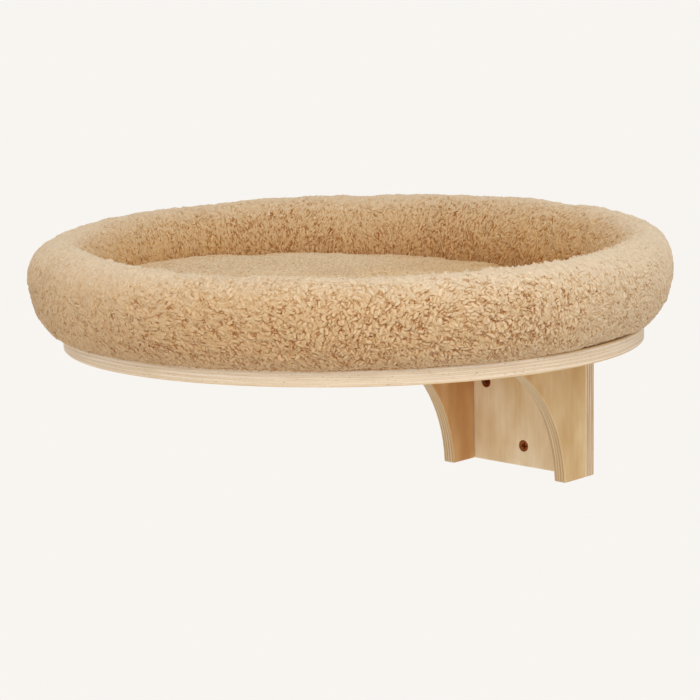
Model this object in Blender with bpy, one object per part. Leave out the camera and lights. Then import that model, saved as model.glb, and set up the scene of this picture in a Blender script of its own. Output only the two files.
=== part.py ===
"""Wall-mounted cat bed: a round plywood shelf on a plywood wall bracket, with a loose plush bed on top.

Metres, +Z up. The origin is the middle of the wall plate's back face. The wall is the plane y = 0, the room
is on its -Y side, and +X is to the right of someone who faces the wall.
"""

import math

import bmesh
import bpy
from mathutils import Matrix, Vector

# Driving dimensions of the wooden pieces
PLY = 0.012
ARRIS = 0.0008
ARRIS_MIN_DEGREES = 40
SHARP_DEGREES = 35
GAP = 0.0003
PLATE_WIDTH = 0.135
PLATE_HEIGHT = 0.142
CORBEL_REACH = 0.166
COVE_RADIUS = 0.125
COVE_CENTRE_Y = -0.1655
COVE_CENTRE_BELOW_FOOT = 0.0052
COVE_STEPS = 20
BOARD_RADIUS = 0.225
BOARD_STEPS = 96
BOARD_OFF_WALL = 0.0005

# Screws: head radius, shank radius, length, and how deep the head sits below the surface
WALL_SCREW = (0.0049, 0.0025, 0.035, 0.0006)
WOOD_SCREW = (0.0038, 0.0019, 0.030, 0.0004)
HEAD_RIM = 0.0004
SCREW_TIP = 0.005
SCREW_STEPS = 24

# The cross recess, as shares of the head's radius: arm, half width and depth
RECESS = (0.55, 0.11, 0.45)
CUTTER_OVERRUN = 0.002

# Where the screws are
WALL_SCREW_SPREAD = 0.042
WALL_SCREW_DROP = 0.0527
CORBEL_SCREW_HEIGHT = 0.045
BOARD_SCREW_Y = (-0.045, -0.130)

# Touch-fastener pads between the board and the bed
PAD_LENGTH = 0.050
PAD_WIDTH = 0.020
PAD_THICKNESS = 0.001
PAD_CORNER = 0.003
PAD_CORNER_STEPS = 3
PAD_DISTANCE = 0.120

# The bed, about its own centre, with heights from the top of the board
BED_SHIFT_X = 0.0021
BED_SHIFT_Y = -0.0044
WALL_CLEARANCE = 0.001
BOLSTER_RADIUS = 0.2480
BOLSTER_WIDEST_SHARE = 0.624
CREST_RADIUS = 0.2276
CREST_HEIGHT = 0.0719
CREST_RISE_LEFT = 0.0053
CREST_RISE_WALL = 0.0084
CREST_SQUEEZE = 0.10
INNER_FOOT_RADIUS = 0.184
INNER_SQUEEZE = 0.20
OUTER_FOOT_RADIUS = 0.2215
FOOT_TUCK = 0.003
ROUNDNESS = 1.93
SQUEEZE_BLEND = 0.006
SQUEEZED_FROM_SINE = 0.3
BED_STEPS = 48
COVER_STEPS = (4, 4, 6)
LINING_STEPS = (3, 3, 4)
FLEECE = 0.005
FILLING_GAP = 0.0006
CLOTH = 0.001
CLOTH_RADIUS = 0.220
CLOTH_STEP_IN = 0.158
CLOTH_STEP_OUT = 0.176
FLOOR_HEIGHT = 0.033
FLOOR_RISE_LEFT = 0.009
FLOOR_FALL_WALL = 0.003
FLOOR_CROWN = 0.004
FLOOR_SHOULDER = 0.005
FLOOR_RINGS = (0.3, 0.6, 0.85, 1.0)
SHOULDER_LEANS = (0.37, 0.92)
FLOOR_FLEECE = 0.004
FLOOR_GAP = 0.001

# Levels and places that follow from them
PLATE_TOP = PLATE_HEIGHT / 2
BOARD_BOTTOM = PLATE_TOP + GAP
BOARD_TOP = BOARD_BOTTOM + PLY
BOARD_CENTRE_Y = -(BOARD_RADIUS + BOARD_OFF_WALL)
BED_CENTRE = Vector((BED_SHIFT_X, BOARD_CENTRE_Y + BED_SHIFT_Y, BOARD_TOP))
CORBEL_BACK = -(PLY + GAP)
CORBEL_MIDDLE_X = (PLATE_WIDTH - PLY) / 2
LOOP_PAD_BOTTOM = 2 * GAP + PAD_THICKNESS
CLOTH_INNER_BOTTOM = LOOP_PAD_BOTTOM + PAD_THICKNESS + GAP
CLOTH_RIM_BOTTOM = 2 * GAP
COVER_BOTTOM = CLOTH_RIM_BOTTOM + CLOTH + GAP
CORE_BOTTOM = CLOTH_INNER_BOTTOM + CLOTH + GAP


def clear_scene():
    for old in list(bpy.data.objects):
        bpy.data.objects.remove(old, do_unlink=True)


def finish(name, colour, roughness, metallic=0.0):
    """A plain Principled material; the colour is linear red, green and blue."""
    material = bpy.data.materials.new(name)
    material.use_nodes = True
    shader = material.node_tree.nodes["Principled BSDF"]
    shader.inputs["Base Color"].default_value = (*colour, 1.0)
    shader.inputs["Roughness"].default_value = roughness
    shader.inputs["Metallic"].default_value = metallic
    return material


def empty(name, place):
    holder = bpy.data.objects.new(name, None)
    holder.empty_display_size = 0.03
    holder.location = place
    bpy.context.scene.collection.objects.link(holder)
    return holder


def add_object(name, shape, material, parent, place=(0.0, 0.0, 0.0), turn=None):
    """Turns a bmesh into an object, with its faces turned outwards."""
    bmesh.ops.recalc_face_normals(shape, faces=shape.faces)
    mesh = bpy.data.meshes.new(name)
    shape.to_mesh(mesh)
    shape.free()
    mesh.shade_smooth()
    mesh.set_sharp_from_angle(angle=math.radians(SHARP_DEGREES))
    mesh.materials.append(material)
    made = bpy.data.objects.new(name, mesh)
    made.parent = parent
    made.matrix_basis = Matrix.Translation(place) @ (turn or Matrix.Identity(4))
    bpy.context.scene.collection.objects.link(made)
    return made


def ease_arrises(piece):
    """Takes the sharp edges off a wooden piece."""
    bevel = piece.modifiers.new("eased arrises", "BEVEL")
    bevel.width = ARRIS
    bevel.segments = 1
    bevel.limit_method = "ANGLE"
    bevel.angle_limit = math.radians(ARRIS_MIN_DEGREES)


def cut(piece, cutter):
    boolean = piece.modifiers.new("cut " + cutter.name, "BOOLEAN")
    boolean.operation = "DIFFERENCE"
    boolean.solver = "EXACT"
    boolean.object = cutter


def as_cutter(piece):
    piece.hide_render = True
    piece.display_type = "WIRE"
    return piece


def turned(profile, steps):
    """A solid of revolution about Z from (radius, height) points that start and end on the axis."""
    shape = bmesh.new()
    corners = [shape.verts.new((radius, 0.0, height)) for radius, height in profile]
    edges = [shape.edges.new(pair) for pair in zip(corners, corners[1:])]
    spin = {"cent": (0, 0, 0), "axis": (0, 0, 1), "angle": math.tau, "steps": steps, "use_merge": True}
    bmesh.ops.spin(shape, geom=corners + edges, **spin)
    bmesh.ops.remove_doubles(shape, verts=shape.verts, dist=1e-6)
    return shape


def box(low, high):
    shape = bmesh.new()
    size = Vector(high) - Vector(low)
    place = Matrix.Translation((Vector(high) + Vector(low)) / 2)
    bmesh.ops.create_cube(shape, size=1.0, matrix=place @ Matrix.Diagonal((*size, 1.0)))
    return shape


def extruded(outline, depth, direction):
    """A flat outline made into a slab of the given depth along a direction."""
    shape = bmesh.new()
    face = shape.faces.new([shape.verts.new(corner) for corner in outline])
    grown = bmesh.ops.extrude_face_region(shape, geom=[face])["geom"]
    moved = [item for item in grown if isinstance(item, bmesh.types.BMVert)]
    bmesh.ops.translate(shape, verts=moved, vec=Vector(direction) * depth)
    return shape


def make_wall_plate(wood, parent):
    half = PLATE_WIDTH / 2
    plate = add_object("wall_plate", box((-half, -PLY, -PLATE_TOP), (half, 0, PLATE_TOP)), wood, parent)
    ease_arrises(plate)
    return plate


def corbel_outline():
    """Side view of a corbel as (y, z) corners: foot, concave cove, nose and top."""
    centre_z = -PLATE_TOP - COVE_CENTRE_BELOW_FOOT
    start = math.asin(COVE_CENTRE_BELOW_FOOT / COVE_RADIUS)
    end = math.acos((-CORBEL_REACH - COVE_CENTRE_Y) / COVE_RADIUS)
    corners = [(CORBEL_BACK, -PLATE_TOP)]
    for step in range(COVE_STEPS + 1):
        angle = start + (end - start) * step / COVE_STEPS
        y = COVE_CENTRE_Y + COVE_RADIUS * math.cos(angle)
        corners.append((y, centre_z + COVE_RADIUS * math.sin(angle)))
    corners.append((-CORBEL_REACH, PLATE_TOP))
    corners.append((CORBEL_BACK, PLATE_TOP))
    return corners


def make_corbel(name, side, wood, parent):
    inner_face = side * (PLATE_WIDTH / 2 - PLY)
    outline = [(inner_face, y, z) for y, z in corbel_outline()]
    corbel = add_object(name, extruded(outline, PLY, (side, 0, 0)), wood, parent)
    ease_arrises(corbel)
    return corbel


def make_shelf_board(wood, parent):
    shape = bmesh.new()
    bmesh.ops.create_cone(
        shape, cap_ends=True, segments=BOARD_STEPS, radius1=BOARD_RADIUS, radius2=BOARD_RADIUS, depth=PLY
    )
    board = add_object("shelf_board", shape, wood, parent, (0, BOARD_CENTRE_Y, BOARD_BOTTOM + PLY / 2))
    ease_arrises(board)
    return board


def screw_profile(head, shank, length, clearance=0.0):
    """Countersunk screw with its head's face at height 0, or the hole that clears it."""
    neck = -(HEAD_RIM + head - shank)
    if clearance:
        top = CUTTER_OVERRUN + head
        bottom = -(length + clearance)
        return [
            (0, top),
            (head + clearance, top),
            (head + clearance, -HEAD_RIM - clearance),
            (shank + clearance, neck - clearance),
            (shank + clearance, bottom),
            (0, bottom),
        ]
    return [(0, 0), (head, 0), (head, -HEAD_RIM), (shank, neck), (shank, SCREW_TIP - length), (0, -length)]


def cross_recess(name, head, screw):
    """Two crossed slots cut into a screw's head."""
    arm, half_width, depth = (share * head for share in RECESS)
    for label, size in (("a", (arm, half_width)), ("b", (half_width, arm))):
        shape = box((-size[0], -size[1], -depth), (size[0], size[1], CUTTER_OVERRUN))
        slot = add_object(f"{name}_slot_{label}", shape, screw.data.materials[0], screw)
        cut(screw, as_cutter(slot))


def drive_screw(name, place, outward, size, pieces, metal, parent):
    """Puts a countersunk screw at a place on a surface and cuts its hole in the pieces it goes through."""
    head, shank, length, sunk = size
    turn = Vector(outward).to_track_quat("Z", "Y").to_matrix().to_4x4()
    seat = Vector(place) - Vector(outward) * sunk
    shape = turned(screw_profile(head, shank, length), SCREW_STEPS)
    screw = add_object(name, shape, metal, parent, seat, turn)
    cross_recess(name, head, screw)
    hole_shape = turned(screw_profile(head, shank, length, GAP), SCREW_STEPS)
    hole = as_cutter(add_object(name + "_hole", hole_shape, metal, parent, seat, turn))
    for piece in pieces:
        cut(piece, hole)


def make_screws(plate, corbels, board, bronze, steel, parent):
    front = -PLY
    places = {
        "wall_screw_left": (-WALL_SCREW_SPREAD, front, 0),
        "wall_screw_right": (WALL_SCREW_SPREAD, front, 0),
        "wall_screw_lower": (0, front, -WALL_SCREW_DROP),
    }
    for name, place in places.items():
        drive_screw(name, place, (0, -1, 0), WALL_SCREW, [plate], bronze, parent)
    for side_name, side in (("left", -1), ("right", 1)):
        x = side * CORBEL_MIDDLE_X
        corbel = corbels[side_name]
        for level, height in (("upper", CORBEL_SCREW_HEIGHT), ("lower", -CORBEL_SCREW_HEIGHT)):
            name = f"corbel_screw_{side_name}_{level}"
            drive_screw(name, (x, 0, height), (0, 1, 0), WOOD_SCREW, [plate, corbel], steel, parent)
        for row, y in zip(("back", "front"), BOARD_SCREW_Y):
            name = f"board_screw_{side_name}_{row}"
            drive_screw(name, (x, y, BOARD_TOP), (0, 0, 1), WOOD_SCREW, [board, corbel], steel, parent)


def pad_shape():
    """A flat pad with rounded corners, resting on height 0."""
    outline = []
    for corner_x, corner_y, start in ((1, 1, 0), (-1, 1, 90), (-1, -1, 180), (1, -1, 270)):
        for step in range(PAD_CORNER_STEPS + 1):
            angle = math.radians(start + 90 * step / PAD_CORNER_STEPS)
            x = corner_x * (PAD_LENGTH / 2 - PAD_CORNER) + PAD_CORNER * math.cos(angle)
            y = corner_y * (PAD_WIDTH / 2 - PAD_CORNER) + PAD_CORNER * math.sin(angle)
            outline.append((x, y, 0.0))
    return extruded(outline, PAD_THICKNESS, (0, 0, 1))


def make_pads(hook, loop, bracket, bed):
    """Four hook pads on the board and four loop pads under the bed, one pair on each side."""
    for name, degrees in (("right", 0), ("back", 90), ("left", 180), ("front", 270)):
        angle = math.radians(degrees)
        outward = Vector((math.cos(angle), math.sin(angle), 0)) * PAD_DISTANCE
        turn = Matrix.Rotation(angle + math.pi / 2, 4, "Z")
        on_board = BED_CENTRE + outward + Vector((0, 0, GAP))
        add_object("hook_pad_" + name, pad_shape(), hook, bracket, on_board, turn)
        under_bed = outward + Vector((0, 0, LOOP_PAD_BOTTOM))
        add_object("loop_pad_" + name, pad_shape(), loop, bed, under_bed, turn)


def smooth_least(a, b, blend):
    """The smaller of two values, with a rounded change from one to the other."""
    return (a + b - math.sqrt((a - b) ** 2 + 4 * blend * blend)) / 2


def outer_radius(angle):
    """The ring is round, and pressed flat where it meets the wall."""
    toward_wall = math.sin(angle)
    if toward_wall <= SQUEEZED_FROM_SINE:
        return BOLSTER_RADIUS
    room = (-BED_CENTRE.y - WALL_CLEARANCE) / toward_wall
    return smooth_least(BOLSTER_RADIUS, room, SQUEEZE_BLEND)


def squeeze(angle):
    return BOLSTER_RADIUS - outer_radius(angle)


def inner_foot_radius(angle):
    return INNER_FOOT_RADIUS - INNER_SQUEEZE * squeeze(angle)


def crest(angle):
    """Radius and height of the ring's crest, which moves in and up where the ring is squeezed."""
    share = (CREST_RADIUS - INNER_FOOT_RADIUS) / (BOLSTER_RADIUS - INNER_FOOT_RADIUS)
    radius = inner_foot_radius(angle) + share * (outer_radius(angle) - inner_foot_radius(angle))
    height = CREST_HEIGHT - CREST_RISE_LEFT * math.cos(angle) + CREST_RISE_WALL * math.sin(angle)
    return radius, height + CREST_SQUEEZE * squeeze(angle)


def quarter_between(centre, reach, steps):
    """A slightly drawn-in quarter of an ellipse, from its side to its top or bottom."""
    power = 2 / ROUNDNESS
    points = []
    for step in range(steps + 1):
        angle = math.pi / 2 * step / steps
        radius = centre[0] + (reach[0] - centre[0]) * math.cos(angle) ** power
        points.append((radius, centre[1] + (reach[1] - centre[1]) * math.sin(angle) ** power))
    return points


def bolster_section(angle, inset, steps):
    """The ring's section as (radius, height) points: outer foot, over the crest, to the inner foot."""
    crest_radius, crest_height = crest(angle)
    top = crest_height - inset
    widest = BOLSTER_WIDEST_SHARE * crest_height
    outer = outer_radius(angle) - inset
    foot = smooth_least(OUTER_FOOT_RADIUS, outer_radius(angle) - FOOT_TUCK, CLOTH) - inset
    inner = inner_foot_radius(angle) + inset
    under = quarter_between((foot, widest), (outer, COVER_BOTTOM), steps[0])
    over = quarter_between((crest_radius, widest), (outer, top), steps[1])
    inside = quarter_between((crest_radius, COVER_BOTTOM), (inner, top), steps[2])
    return under[::-1] + over[1:] + inside[::-1][1:]


def inner_wall_radius(angle, height):
    """Radius of the ring's inner side at a height below its crest."""
    radius, top = crest(angle)
    climb = min(1.0, max(0.0, (height - COVER_BOTTOM) / (top - COVER_BOTTOM)))
    reach = (1 - climb**ROUNDNESS) ** (1 / ROUNDNESS)
    return radius - (radius - inner_foot_radius(angle)) * reach


def section_rows(shape, section):
    """The points of a section that may change with the angle, at even steps round the Z axis."""
    rows = []
    for step in range(BED_STEPS):
        angle = math.tau * step / BED_STEPS
        out_x, out_y = math.cos(angle), math.sin(angle)
        rows.append([shape.verts.new((r * out_x, r * out_y, z)) for r, z in section(angle)])
    return rows


def ring_of_sections(section):
    """A closed ring, from a closed section."""
    shape = bmesh.new()
    rows = section_rows(shape, section)
    for row, following in zip(rows, rows[1:] + rows[:1]):
        for i in range(len(row)):
            k = (i + 1) % len(row)
            shape.faces.new((row[i], row[k], following[k], following[i]))
    bmesh.ops.triangulate(shape, faces=shape.faces, quad_method="FIXED")
    return shape


def disc_of_sections(section, top, bottom):
    """A closed disc, from an open section that runs from the middle's top, round the edge, to its bottom."""
    shape = bmesh.new()
    rows = section_rows(shape, section)
    poles = (shape.verts.new((0, 0, top)), shape.verts.new((0, 0, bottom)))
    for row, following in zip(rows, rows[1:] + rows[:1]):
        for i in range(len(row) - 1):
            shape.faces.new((row[i], row[i + 1], following[i + 1], following[i]))
        shape.faces.new((poles[0], row[0], following[0]))
        shape.faces.new((poles[1], following[-1], row[-1]))
    bmesh.ops.triangulate(shape, faces=shape.faces, quad_method="FIXED")
    return shape


def cover_section(angle):
    """The plush sleeve: the ring's outside, then back along its lining."""
    return bolster_section(angle, 0.0, COVER_STEPS) + bolster_section(angle, FLEECE, LINING_STEPS)[::-1]


def filling_section(angle):
    """The filling is the space in the sleeve, closed underneath; it runs the same way round as the lining."""
    return bolster_section(angle, FLEECE + FILLING_GAP, LINING_STEPS)[::-1]


def floor_height(angle, radius):
    """Top of the plush floor: crowned, and higher on the left."""
    tilt = -FLOOR_RISE_LEFT * math.cos(angle) - FLOOR_FALL_WALL * math.sin(angle)
    share = radius / INNER_FOOT_RADIUS
    return FLOOR_HEIGHT + tilt * share + FLOOR_CROWN * (1 - share * share)


def floor_section(angle, inset, bottom):
    """From near the middle's top, over the shoulder, to the foot of the floor's edge."""
    edge = inner_wall_radius(angle, floor_height(angle, INNER_FOOT_RADIUS)) - FLOOR_GAP - inset
    shoulder = edge - FLOOR_SHOULDER
    points = []
    for share in FLOOR_RINGS:
        points.append((shoulder * share, floor_height(angle, shoulder * share) - inset))
    top = floor_height(angle, shoulder) - inset
    for lean in SHOULDER_LEANS:
        level = top - FLOOR_SHOULDER * (1 - math.sqrt(1 - lean * lean))
        radius = inner_wall_radius(angle, level + inset) - FLOOR_GAP - inset
        points.append((radius - FLOOR_SHOULDER * (1 - lean / SHOULDER_LEANS[-1]), level))
    for share in (0.5, 0.0):
        level = bottom + (top - FLOOR_SHOULDER - bottom) * share
        points.append((inner_wall_radius(angle, level) - FLOOR_GAP - inset, level))
    return points


def make_base_cloth(cloth, bed):
    """The cloth underneath: raised over the pads, lower under the ring."""
    low = [
        (CLOTH_RADIUS, CLOTH_RIM_BOTTOM),
        (CLOTH_STEP_OUT, CLOTH_RIM_BOTTOM),
        (CLOTH_STEP_IN, CLOTH_INNER_BOTTOM),
        (0, CLOTH_INNER_BOTTOM),
    ]
    high = [(radius, height + CLOTH) for radius, height in reversed(low)]
    add_object("base_cloth", turned(high + low, BED_STEPS), cloth, bed)


def make_floor(plush, foam, bed):
    cover_top = floor_height(0, 0)

    def cover(angle):
        lining = floor_section(angle, FLOOR_FLEECE, CORE_BOTTOM)
        return floor_section(angle, 0.0, CORE_BOTTOM) + lining[::-1]

    def core(angle):
        return floor_section(angle, FLOOR_FLEECE + GAP, CORE_BOTTOM)

    shape = disc_of_sections(cover, cover_top, cover_top - FLOOR_FLEECE)
    add_object("floor_cover", shape, plush, bed)
    shape = disc_of_sections(core, cover_top - FLOOR_FLEECE - GAP, CORE_BOTTOM)
    add_object("floor_foam", shape, foam, bed)


def make_bolster(plush, fibre, bed):
    add_object("bolster_cover", ring_of_sections(cover_section), plush, bed)
    add_object("bolster_filling", ring_of_sections(filling_section), fibre, bed)


def main():
    clear_scene()
    birch = finish("birch plywood", (0.72, 0.55, 0.36), 0.55)
    bronze = finish("bronzed screw", (0.15, 0.05, 0.02), 0.35, 1.0)
    steel = finish("zinc plated steel", (0.62, 0.60, 0.55), 0.35, 1.0)
    plush = finish("sand plush", (0.66, 0.46, 0.25), 0.95)
    floor_plush = finish("short sand plush", (0.68, 0.50, 0.30), 0.95)
    fibre = finish("polyester fibre", (0.85, 0.85, 0.83), 0.9)
    foam = finish("white foam", (0.85, 0.83, 0.76), 0.9)
    cloth = finish("non-slip base cloth", (0.30, 0.24, 0.17), 0.85)
    hook = finish("hook tape", (0.55, 0.42, 0.28), 0.7)
    loop = finish("loop tape", (0.58, 0.46, 0.32), 0.85)

    bracket = empty("bracket_frame", (0, 0, 0))
    bed = empty("bed_lift_axis", BED_CENTRE)

    plate = make_wall_plate(birch, bracket)
    corbels = {}
    for side_name, side in (("left", -1), ("right", 1)):
        corbels[side_name] = make_corbel("corbel_" + side_name, side, birch, bracket)
    board = make_shelf_board(birch, bracket)
    make_screws(plate, corbels, board, bronze, steel, bracket)
    make_pads(hook, loop, bracket, bed)
    make_base_cloth(cloth, bed)
    make_floor(floor_plush, foam, bed)
    make_bolster(plush, fibre, bed)


main()
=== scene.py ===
# %% [markdown]
# A cat bed that hangs on a wall: a round shelf of birch plywood on a plywood bracket, with a loose plush bed.
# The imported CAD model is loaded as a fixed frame. Its flat wooden pieces keep their shape and get a better
# finish. The stuffed pieces are replaced by plush that is worked out here, tuft by tuft.

# %% The frame
import math

import bpy
import numpy as np
from mathutils import Matrix, Vector


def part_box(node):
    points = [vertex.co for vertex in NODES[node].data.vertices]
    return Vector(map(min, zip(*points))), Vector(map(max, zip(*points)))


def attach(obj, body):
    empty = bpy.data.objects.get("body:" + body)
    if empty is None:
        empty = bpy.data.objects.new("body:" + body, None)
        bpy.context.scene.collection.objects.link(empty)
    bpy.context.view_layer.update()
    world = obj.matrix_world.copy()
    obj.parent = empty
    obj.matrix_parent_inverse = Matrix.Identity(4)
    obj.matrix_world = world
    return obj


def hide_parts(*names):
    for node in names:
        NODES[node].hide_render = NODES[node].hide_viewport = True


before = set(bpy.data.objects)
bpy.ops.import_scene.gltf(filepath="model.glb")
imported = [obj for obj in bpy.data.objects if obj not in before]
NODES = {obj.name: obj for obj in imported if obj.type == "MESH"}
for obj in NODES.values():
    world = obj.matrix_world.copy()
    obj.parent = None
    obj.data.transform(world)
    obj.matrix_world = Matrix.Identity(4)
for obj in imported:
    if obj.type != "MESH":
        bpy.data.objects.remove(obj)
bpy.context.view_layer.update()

# %% [markdown]
# Colours are picked as sRGB hex values, as in any paint program. Blender's shaders count in linear
# light, so one function turns the one into the other. A second one adds a node: it sets the node's own
# settings, fills its sockets with values, and links those that are given another node or its output.


# %% Colours
def linear(hex_colour):
    """Linear red, green, blue and alpha of a colour such as "#E8C79A", by the sRGB curve."""
    encoded = [int(hex_colour[i : i + 2], 16) / 255 for i in (1, 3, 5)]
    return (*[c / 12.92 if c <= 0.04045 else ((c + 0.055) / 1.055) ** 2.4 for c in encoded], 1.0)


print(f"middle grey, #808080, is {linear('#808080')[0]:.3f} in linear light")


# %% Nodes and materials
def fill(node, sockets):
    """Fills inputs, named or numbered in a dict or in order in a list, with values or with links. A node that
    is given as a value stands for its first output in use."""
    sockets = sockets if isinstance(sockets, dict) else dict(enumerate(sockets))
    for key, value in sockets.items():
        if isinstance(value, bpy.types.Node):
            value = next(output for output in value.outputs if output.enabled)
        if isinstance(value, bpy.types.NodeSocket):
            node.id_data.links.new(value, node.inputs[key])
        else:
            node.inputs[key].default_value = value
    return node


def add(tree, kind, sockets=(), **settings):
    """A new shader node of a kind such as "Math", with its own settings, and with its sockets filled."""
    node = tree.nodes.new("ShaderNode" + kind)
    for setting, value in settings.items():
        setattr(node, setting, value)
    return fill(node, sockets)


def painted(tree, colour, layers):
    """Lays each colour over what is there, by its share."""
    for share, top in layers:
        colour = add(tree, "Mix", {"Factor": share, 6: colour, 7: linear(top)}, data_type="RGBA")
    return colour


def new_material(name, constants):
    """A material, its tree, and its Principled shader, which takes constants on its own sockets."""
    material = bpy.data.materials.new(name)
    material.use_nodes = True
    tree = material.node_tree
    tree.nodes.clear()
    shader = add(tree, "BsdfPrincipled", constants)
    add(tree, "OutputMaterial", {"Surface": shader})
    print("material:", name)
    return material, tree, shader


# %% [markdown]
# Every new piece here is round in one direction: the ring, the floor cushion, the cloth and the screws. So
# one function is enough. It takes a grid of points whose rows run round the piece, joins the last row to the
# first, and closes each end of the columns with a fan to one point. On the ring the columns close as well.


# %% A mesh from arrays
def mesh_piece(name, places, corners, sizes, material):
    """An object from points, the corners of all its faces one after another, and each face's corner count."""
    mesh = bpy.data.meshes.new(name)
    mesh.vertices.add(len(places))
    mesh.vertices.foreach_set("co", places.astype(np.float32).ravel())
    mesh.loops.add(len(corners))
    mesh.loops.foreach_set("vertex_index", corners.astype(np.int32))
    mesh.polygons.add(len(sizes))
    mesh.polygons.foreach_set("loop_start", (np.cumsum(sizes) - sizes).astype(np.int32))
    mesh.update(calc_edges=True)
    mesh.shade_smooth()
    mesh.materials.append(material)
    made = bpy.data.objects.new(name, mesh)
    bpy.context.scene.collection.objects.link(made)
    print(f"{name}: {len(places)} points, {len(sizes)} faces")
    return made


# %% A grid of points made into a closed piece
def round_piece(name, points, ends=None, material=None):
    """points has the shape (rows, columns, 3). Rows close on themselves. ends is a pair of points for the
    fans at the first and last column; without it, the columns close on themselves too."""
    rows, columns = points.shape[:2]
    index = np.arange(rows * columns).reshape(rows, columns)
    index = np.vstack([index, index[:1]])
    if ends is None:
        index = np.hstack([index, index[:, :1]])
    quads = np.stack([index[:-1, :-1], index[1:, :-1], index[1:, 1:], index[:-1, 1:]], -1).reshape(-1, 4)
    corners = [quads.ravel()]
    sizes = [np.full(len(quads), 4)]
    places = [points.reshape(-1, 3)]
    if ends is not None:
        first, last = (np.full(rows, rows * columns + i) for i in (0, 1))
        inner = np.stack([index[1:, 0], index[:-1, 0], first], -1)
        outer = np.stack([index[:-1, -1], index[1:, -1], last], -1)
        corners.append(np.vstack([inner, outer]).ravel())
        sizes.append(np.full(2 * rows, 3))
        places.append(np.array(ends))
    return mesh_piece(name, np.concatenate(places), np.concatenate(corners), np.concatenate(sizes), material)


# %% Numbers on a mesh for its material to read
def give(piece, name, values):
    """Stores one number or one vector for each point of a piece. The points of the fans at its ends, which
    come last, take the value of the last point of the grid."""
    extra = len(piece.data.vertices) - len(values)
    values = np.concatenate([values, np.repeat(values[-1:], extra, 0)])
    kind, key = ("FLOAT", "value") if values.ndim == 1 else ("FLOAT_VECTOR", "vector")
    attribute = piece.data.attributes.new(name, kind, "POINT")
    attribute.data.foreach_set(key, values.astype(np.float32).ravel())


# %% [markdown]
# The photograph was taken with a long lens, a little above the shelf and 44 degrees round from straight on,
# with the camera turned about one degree. These values come from fitting the two rims of the board, the
# plate and the corbels, so the real sizes and the picture agree.

# %% The camera
CAMERA_TARGET = np.array([-0.00431, -0.22544, 0.0598])
CAMERA_DISTANCE = 1.4414
CAMERA_AZIMUTH = math.radians(43.76)
CAMERA_ELEVATION = math.radians(9.138)
CAMERA_ROLL = math.radians(-1.077)
SENSOR = 36.0
FOCAL_PIXELS = 1831.2
PICTURE_PIXELS = 700


def make_camera():
    """The camera looks along minus its own Z, from its distance behind the target."""
    level = np.array([math.cos(CAMERA_AZIMUTH), math.sin(CAMERA_AZIMUTH), 0.0])
    flat = np.array([math.sin(CAMERA_AZIMUTH), -math.cos(CAMERA_AZIMUTH), 0.0])
    back = flat * math.cos(CAMERA_ELEVATION) + np.array([0.0, 0.0, math.sin(CAMERA_ELEVATION)])
    upright = np.cross(back, level)
    right = math.cos(CAMERA_ROLL) * level + math.sin(CAMERA_ROLL) * upright
    up = math.cos(CAMERA_ROLL) * upright - math.sin(CAMERA_ROLL) * level
    placed = np.eye(4)
    placed[:3, :] = np.column_stack([right, up, back, CAMERA_TARGET + CAMERA_DISTANCE * back])
    camera = bpy.data.objects.new("camera", bpy.data.cameras.new("camera"))
    camera.matrix_world = Matrix(placed.tolist())
    camera.data.sensor_width = SENSOR
    camera.data.lens = SENSOR * FOCAL_PIXELS / PICTURE_PIXELS
    bpy.context.scene.collection.objects.link(camera)
    bpy.context.scene.camera = camera
    print(f"camera: {camera.data.lens:.1f} mm lens at {CAMERA_DISTANCE:.2f} m")


make_camera()

# %% [markdown]
# The stuffed ring has a section of three quarter ellipses: from its outer foot out to its widest point, from
# there up to the crest, and from the crest down the inner side. The crest is higher on the left and at the
# wall, as in the photograph, and at the wall the ring is pressed flat. A fourth stretch closes it underneath.
# It could be a torus shaped by hand, but a formula can be matched to the photographed outline at every angle.

# %% Sizes of the ring, in metres
BOARD_LOW, BOARD_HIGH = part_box("shelf_board")
BOARD_TOP = BOARD_HIGH.z
CLOTH_LOW, CLOTH_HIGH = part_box("base_cloth")
BED_X = (CLOTH_LOW.x + CLOTH_HIGH.x) / 2
BED_Y = (CLOTH_LOW.y + CLOTH_HIGH.y) / 2
WALL_CLEARANCE = 0.001
RING_RADIUS = 0.2480
CREST_RADIUS = 0.2276
CREST_HEIGHT = 0.0729
CREST_RISE_LEFT = 0.0055
CREST_RISE_WALL = 0.0084
CREST_RISE_FRONT_LEFT = 0.0045
CREST_IN_LEFT = 0.007
INNER_FOOT = 0.184
OUTER_FOOT = 0.2243
FOOT_TUCK = 0.003
FOOT_IN_RIGHT = 0.0040
RING_BOTTOM = 0.0019
HEM_BOTTOM = 0.0004
# The distances over which two curves are blended where they meet.
SQUEEZE_BLEND = 0.006
FOOT_BLEND = 0.001
# Shares: the widest point's height, and how far the crest rises and the inner foot moves where pressed.
WIDEST_SHARE = 0.624
CREST_SQUEEZE = 0.10
INNER_SQUEEZE = 0.20
# The power of the ellipses, where the hem starts along the section, and the least sine that faces the wall.
ROUNDNESS = 1.93
HEM_FROM = 3.85
WALL_SIDE = 0.3
# Places round the ring: an angle in radians, and how narrow the hump about it is.
FRONT_LEFT = (4.4, 12)
LEFT = (4.1, 3)
RIGHT = (0.3, 3)
print(f"ring: {2000 * RING_RADIUS:.0f} mm across, {1000 * CREST_HEIGHT:.0f} mm high at the front and right")


# %% The ring's outline seen from above
def smooth_least(a, b, blend):
    """The smaller of two values, rounded where they meet: (a + b - sqrt((a - b)^2 + 4 blend^2)) / 2."""
    return (a + b - np.sqrt((a - b) ** 2 + 4 * blend * blend)) / 2


def hump(angle, at, narrow):
    """1 at one angle, falling away on both sides by exp(narrow (cos(angle - at) - 1))."""
    return np.exp(narrow * (np.cos(angle - at) - 1))


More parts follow.
